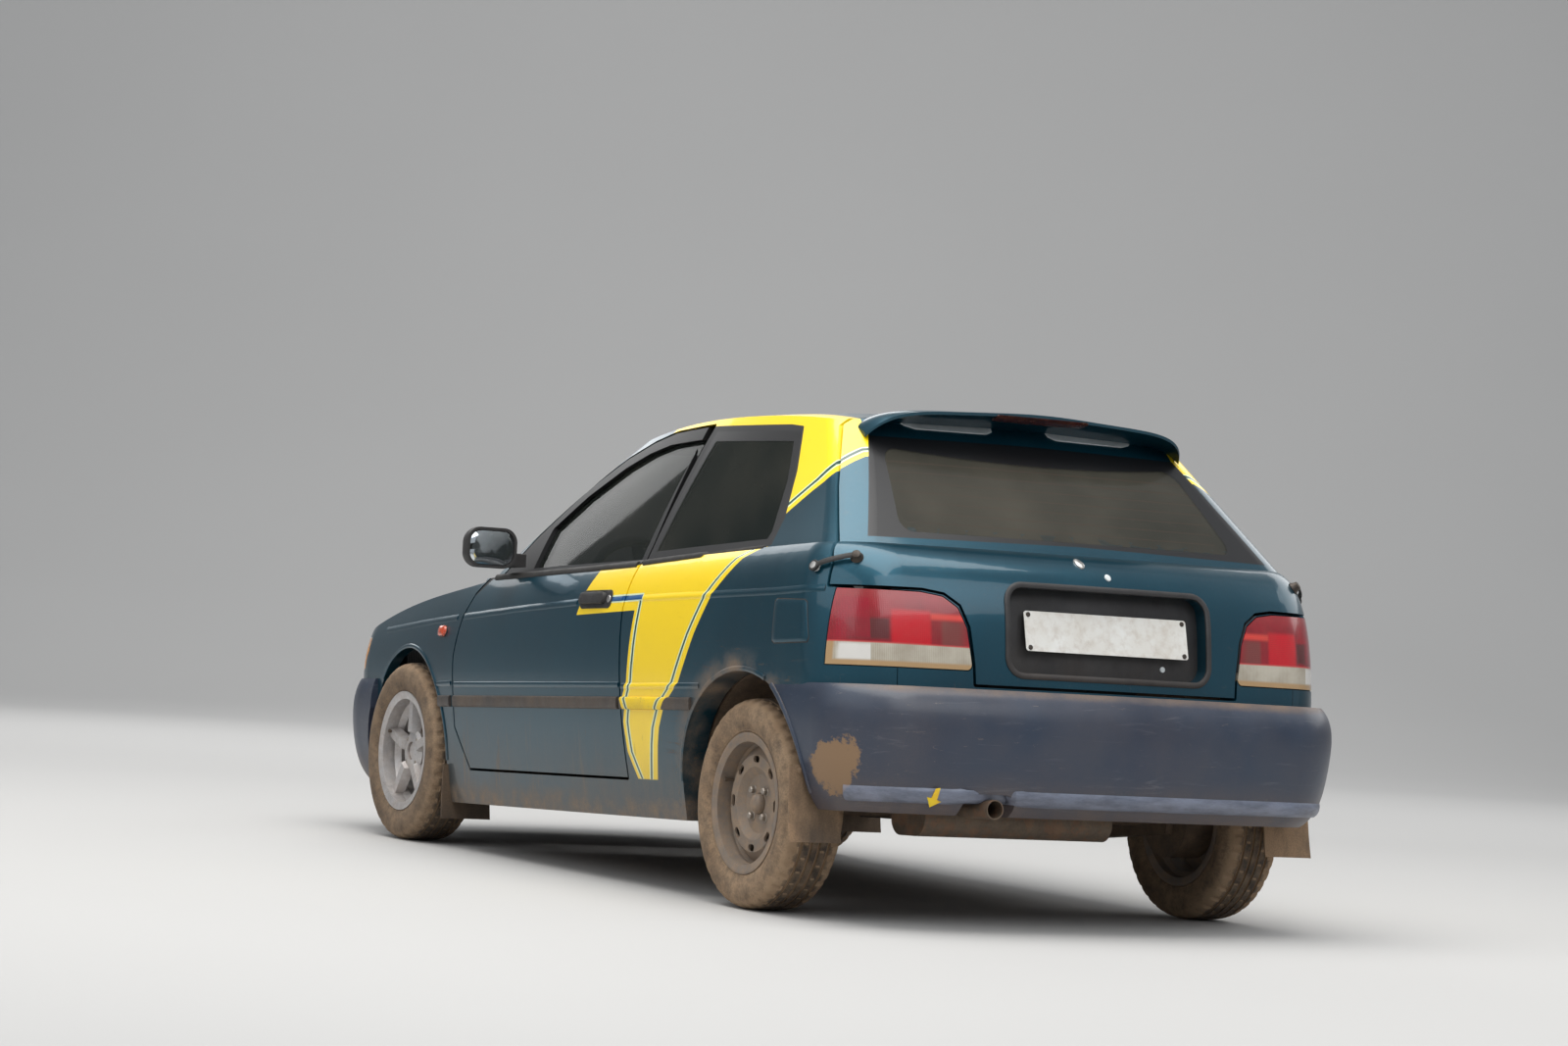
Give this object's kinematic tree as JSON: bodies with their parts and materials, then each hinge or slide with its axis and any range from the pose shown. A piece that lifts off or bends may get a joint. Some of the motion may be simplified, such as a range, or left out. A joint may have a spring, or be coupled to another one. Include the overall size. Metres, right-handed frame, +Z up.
{
  "type": "rally hatchback car",
  "caption": "Compact three-door hatchback in rally trim with steered wheels, opening doors, bonnet and tailgate, bucket seats and a roof spoiler.",
  "frame": {"origin": "on the ground, under the centre of the car's bounding box", "axes": "+X forwards, +Y to the car's left, +Z up"},
  "size_m": [3.8565, 1.9354, 1.4073],
  "materials": {
    "body_paint": "metallic gloss, dusty",
    "under_metal": "dull, dusty",
    "black_plastic": "grained",
    "bumper_paint": "dusty paint",
    "glass": "clear",
    "lamp_red": "ribbed lens",
    "lamp_clear": "clear lens",
    "plate_white": "blank, dusty",
    "tyre_rubber": "dusty",
    "alloy": "dusty cast",
    "steel_wheel": "dusty black steel",
    "disc_iron": "machined",
    "chassis_steel": "satin",
    "exhaust_steel": "rusty",
    "engine_iron": "oily",
    "dash_plastic": "grained",
    "wheel_leather": "suede",
    "seat_fabric": "woven"
  },
  "bodies": {
    "body": {"floor": "under_metal", "body_side_left": "body_paint", "body_side_right": "body_paint", "roof": "body_paint", "wing_left": "body_paint", "wing_right": "body_paint", "front_panel": "body_paint", "rear_panel": "body_paint", "scuttle": "black_plastic", "inner_wings": "under_metal", "front_bumper": "bumper_paint", "rear_bumper": "bumper_paint", "windscreen": "glass", "quarter_glasses": "glass", "tail_lamps": "lamp_red", "headlamps": "lamp_clear", "grille": "black_plastic", "front_cross_member": "chassis_steel", "rear_axle": "chassis_steel", "exhaust": "exhaust_steel", "engine": "engine_iron", "dashboard": "dash_plastic", "bucket_seats": "seat_fabric"},
    "bonnet_lid": {"bonnet": "body_paint"},
    "door_l": {"door_left": "body_paint", "door_glass_left": "glass", "mirror_left": "black_plastic"},
    "door_r": {"door_right": "body_paint", "door_glass_right": "glass", "mirror_right": "black_plastic"},
    "hatch": {"tailgate": "body_paint", "tailgate_glass": "glass", "plate_surround": "black_plastic", "number_plate": "plate_white", "roof_spoiler": "body_paint"},
    "steer_left": {"knuckle_left": "chassis_steel"},
    "steer_right": {"knuckle_right": "chassis_steel"},
    "wheel_fl": {"tyre_fl": "tyre_rubber", "rim_fl": "alloy", "brake_disc_left": "disc_iron"},
    "wheel_fr": {"tyre_fr": "tyre_rubber", "rim_fr": "alloy", "brake_disc_right": "disc_iron"},
    "wheel_rl": {"tyre_rl": "tyre_rubber", "rim_rl": "steel_wheel"},
    "wheel_rr": {"tyre_rr": "tyre_rubber", "rim_rr": "steel_wheel"},
    "steering": {"steering_wheel": "wheel_leather"}
  },
  "joints": [
    {"name": "steer_left", "type": "hinge", "parent": "body", "child": "steer_left", "pos_m": [1.135, 0.682, 0.17], "axis": [0, -0.1386, 0.9903], "range_deg": [-30, 30]},
    {"name": "steer_right", "type": "hinge", "parent": "body", "child": "steer_right", "pos_m": [1.135, -0.682, 0.17], "axis": [0, 0.1386, 0.9903], "range_deg": [-30, 30]},
    {"name": "wheel_fl_roll", "type": "hinge", "parent": "steer_left", "child": "wheel_fl", "pos_m": [1.135, 0.722, 0.288], "axis": [0, 1, 0], "continuous": true},
    {"name": "wheel_fr_roll", "type": "hinge", "parent": "steer_right", "child": "wheel_fr", "pos_m": [1.135, -0.722, 0.288], "axis": [0, 1, 0], "continuous": true},
    {"name": "wheel_rl_roll", "type": "hinge", "parent": "body", "child": "wheel_rl", "pos_m": [-1.245, 0.712, 0.288], "axis": [0, 1, 0], "continuous": true},
    {"name": "wheel_rr_roll", "type": "hinge", "parent": "body", "child": "wheel_rr", "pos_m": [-1.245, -0.712, 0.288], "axis": [0, 1, 0], "continuous": true},
    {"name": "door_left_hinge", "type": "hinge", "parent": "body", "child": "door_l", "pos_m": [0.68633, 0.842, 0.53044], "axis": [-0.0401, 0, -0.9992], "range_deg": [0, 65]},
    {"name": "door_right_hinge", "type": "hinge", "parent": "body", "child": "door_r", "pos_m": [0.68633, -0.842, 0.53044], "axis": [0.0401, 0, 0.9992], "range_deg": [0, 65]},
    {"name": "bonnet_hinge", "type": "hinge", "parent": "body", "child": "bonnet_lid", "pos_m": [0.75201, 0, 0.87008], "axis": [0, -1, 0], "range_deg": [0, 50]},
    {"name": "tailgate_hinge", "type": "hinge", "parent": "body", "child": "hatch", "pos_m": [-1.22472, 0, 1.38983], "axis": [0, 1, 0], "range_deg": [0, 75]},
    {"name": "steering_wheel_turn", "type": "hinge", "parent": "body", "child": "steering", "pos_m": [0.31476, 0.356, 0.84761], "axis": [-0.8805, 0, 0.4741], "range_deg": [-480, 480]}
  ],
  "couplings": [
    {"joint": "steer_right", "follows": "steer_left", "ratio": 1},
    {"joint": "steering_wheel_turn", "follows": "steer_left", "ratio": 16}
  ]
}
